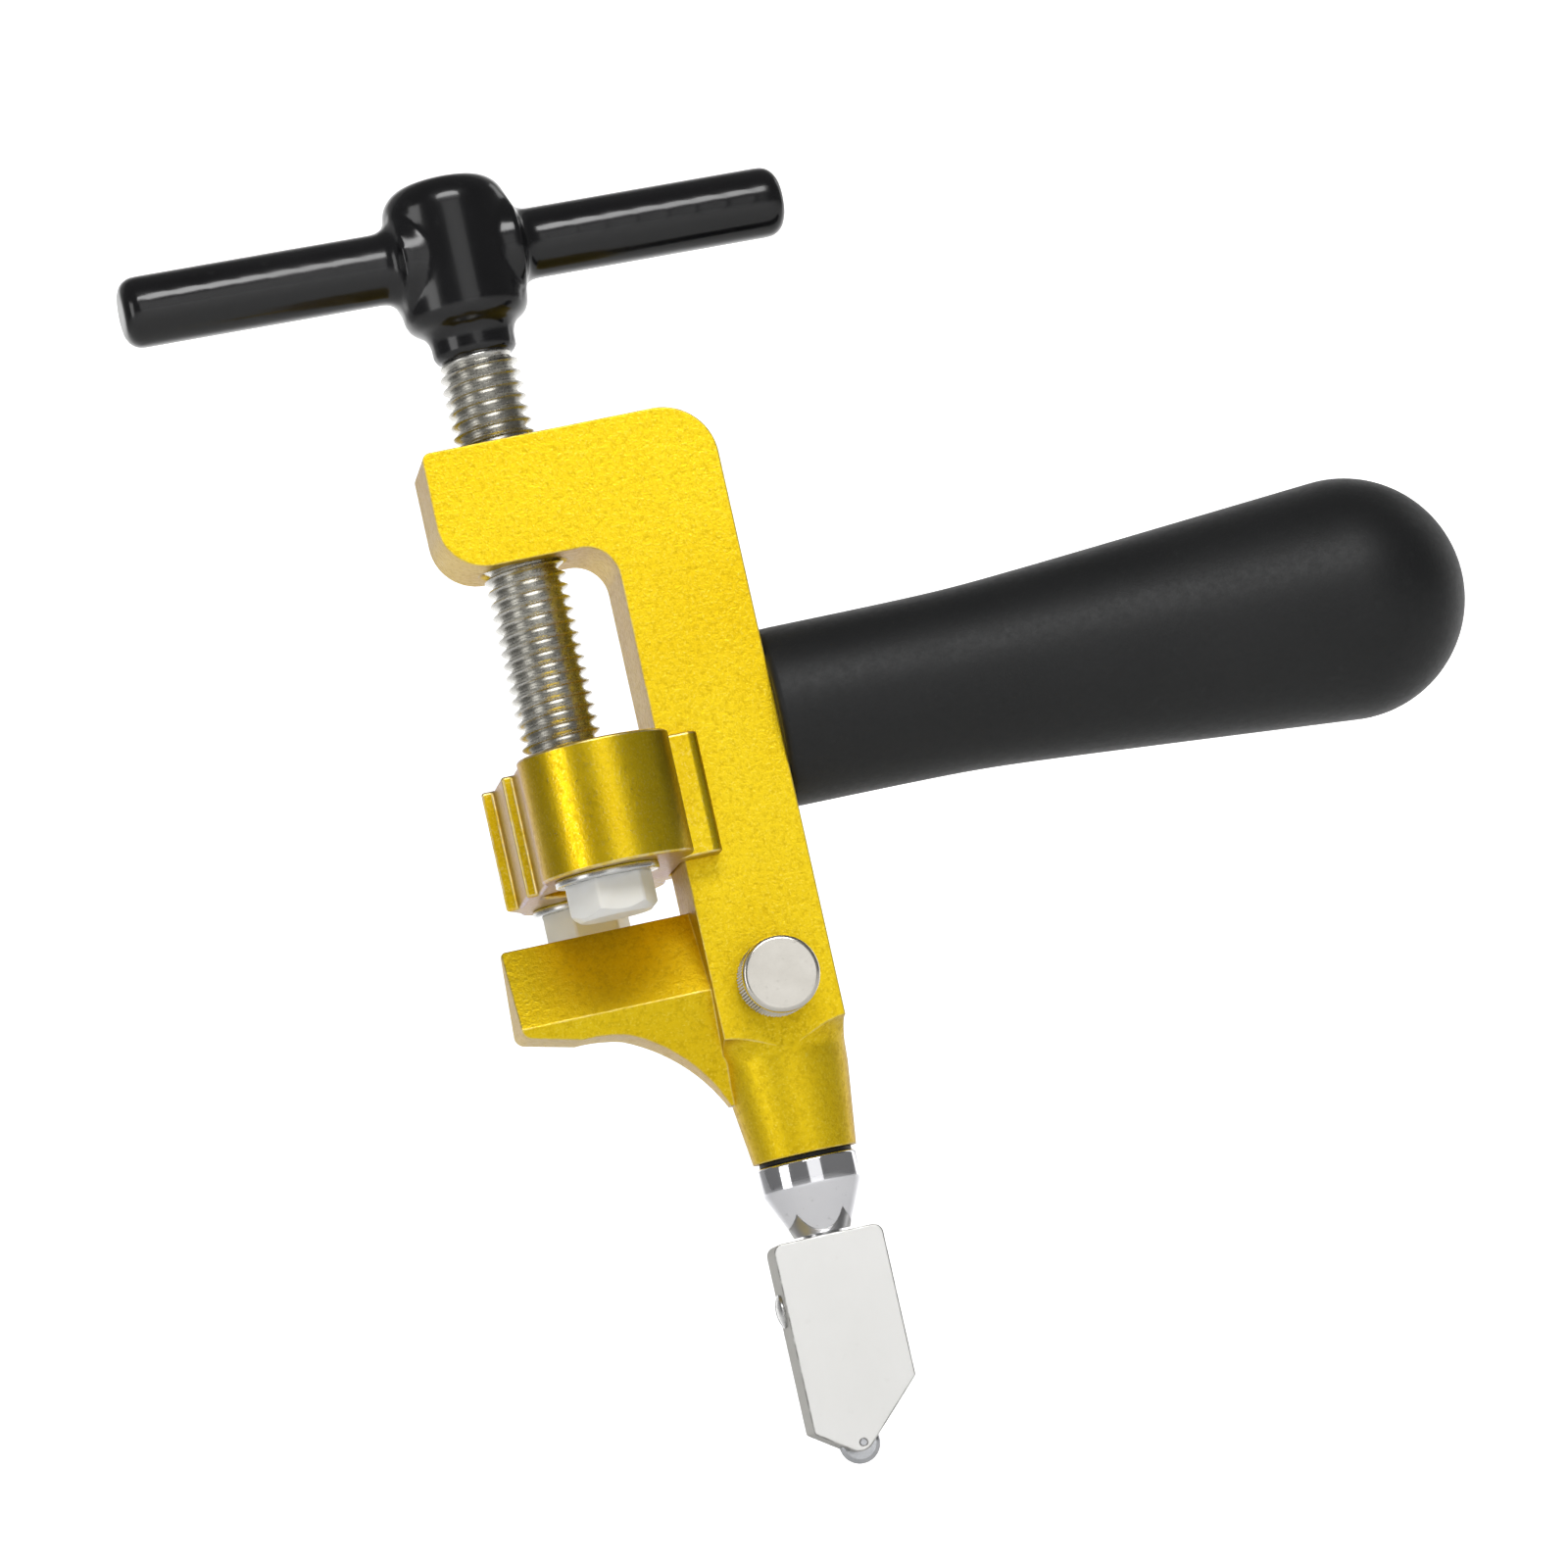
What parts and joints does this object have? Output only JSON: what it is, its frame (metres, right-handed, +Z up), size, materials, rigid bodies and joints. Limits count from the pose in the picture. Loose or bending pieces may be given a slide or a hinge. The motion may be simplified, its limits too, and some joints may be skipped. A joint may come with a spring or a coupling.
{
  "type": "glass cutter",
  "caption": "Hand tool for cutting sheet glass: a scoring wheel under a C frame, whose screw press breaks the score over a ridge.",
  "frame": {"origin": "on top of the jaw's ridge, on the axis of the press screw", "axes": "+Z up along the press screw, +X towards the grip, +Y away from the side with the lock screw"},
  "size_m": [0.1558, 0.0524, 0.1645],
  "materials": {
    "gold_anodised_frame": "fine blasted gold anodising, greyer on the faces turned to the left and down",
    "gold_anodised_block": "satin gold anodising with soft vertical banding",
    "steel_rod": "drawn steel, fine lengthwise grain",
    "screw_steel": "bright zinc-plated thread",
    "small_screw_steel": "bright plated, lightly worn slot",
    "washer_steel": "bright turned steel",
    "grip_rubber": "soft matte black rubber with a broad sheen",
    "gloss_coating": "gloss black dipped coating, slightly wavy",
    "white_nylon": "milky white nylon",
    "nickel_knob": "nickel plate over a fine knurl, polished rim",
    "black_washer": "black rubber washer",
    "chrome_nose": "polished chrome plate",
    "nickel_head": "satin nickel plate, soft cast edges",
    "wheel_steel": "ground hard steel"
  },
  "bodies": {
    "frame": {"frame_body": "gold_anodised_frame", "handle_rod": "steel_rod", "handle_grip": "grip_rubber"},
    "press": {"press_block": "gold_anodised_block", "foot_bolt_front": "white_nylon", "foot_bolt_rear": "white_nylon", "foot_washer_front": "washer_steel", "foot_washer_rear": "washer_steel"},
    "screw": {"main_screw": "screw_steel", "cross_bar": "steel_rod", "top_handle": "gloss_coating", "retaining_washer": "washer_steel", "retaining_screw": "small_screw_steel"},
    "lock_stud": {"lock_stud": "screw_steel"},
    "lock_knob": {"lock_knob": "nickel_knob"},
    "stem": {"stem": "steel_rod", "nose_washer": "black_washer", "nose_ferrule": "chrome_nose"},
    "head": {"head_block": "nickel_head", "side_screw": "small_screw_steel", "wheel_axle": "wheel_steel"},
    "wheel": {"scoring_wheel": "wheel_steel"}
  },
  "joints": [
    {"name": "press_slide", "type": "slide", "parent": "frame", "child": "press", "axis": [0, 0, 1], "range_m": [-0.004, 0.022]},
    {"name": "screw_turn", "type": "hinge", "parent": "press", "child": "screw", "pos_m": [0, 0, 0.04], "axis": [0, 0, 1], "range_deg": [-960, 5280]},
    {"name": "lock_slide", "type": "slide", "parent": "frame", "child": "lock_stud", "axis": [0, -1, 0], "range_m": [0, 0.0016]},
    {"name": "lock_turn", "type": "hinge", "parent": "lock_stud", "child": "lock_knob", "pos_m": [0.018, -0.012, -0.0105], "axis": [0, -1, 0], "range_deg": [0, 720]},
    {"name": "stem_slide", "type": "slide", "parent": "frame", "child": "stem", "axis": [0, 0, -1], "range_m": [0, 0.01]},
    {"name": "head_swivel", "type": "hinge", "parent": "stem", "child": "head", "pos_m": [0.018, 0, -0.05], "axis": [0, 0, 1], "continuous": true},
    {"name": "wheel_spin", "type": "hinge", "parent": "head", "child": "wheel", "pos_m": [0.01684, 0, -0.0669], "axis": [0, 1, 0], "continuous": true}
  ],
  "couplings": [
    {"joint": "screw_turn", "follows": "press_slide", "rad_per_m": 4188.8},
    {"joint": "lock_turn", "follows": "lock_slide", "rad_per_m": 7854}
  ]
}
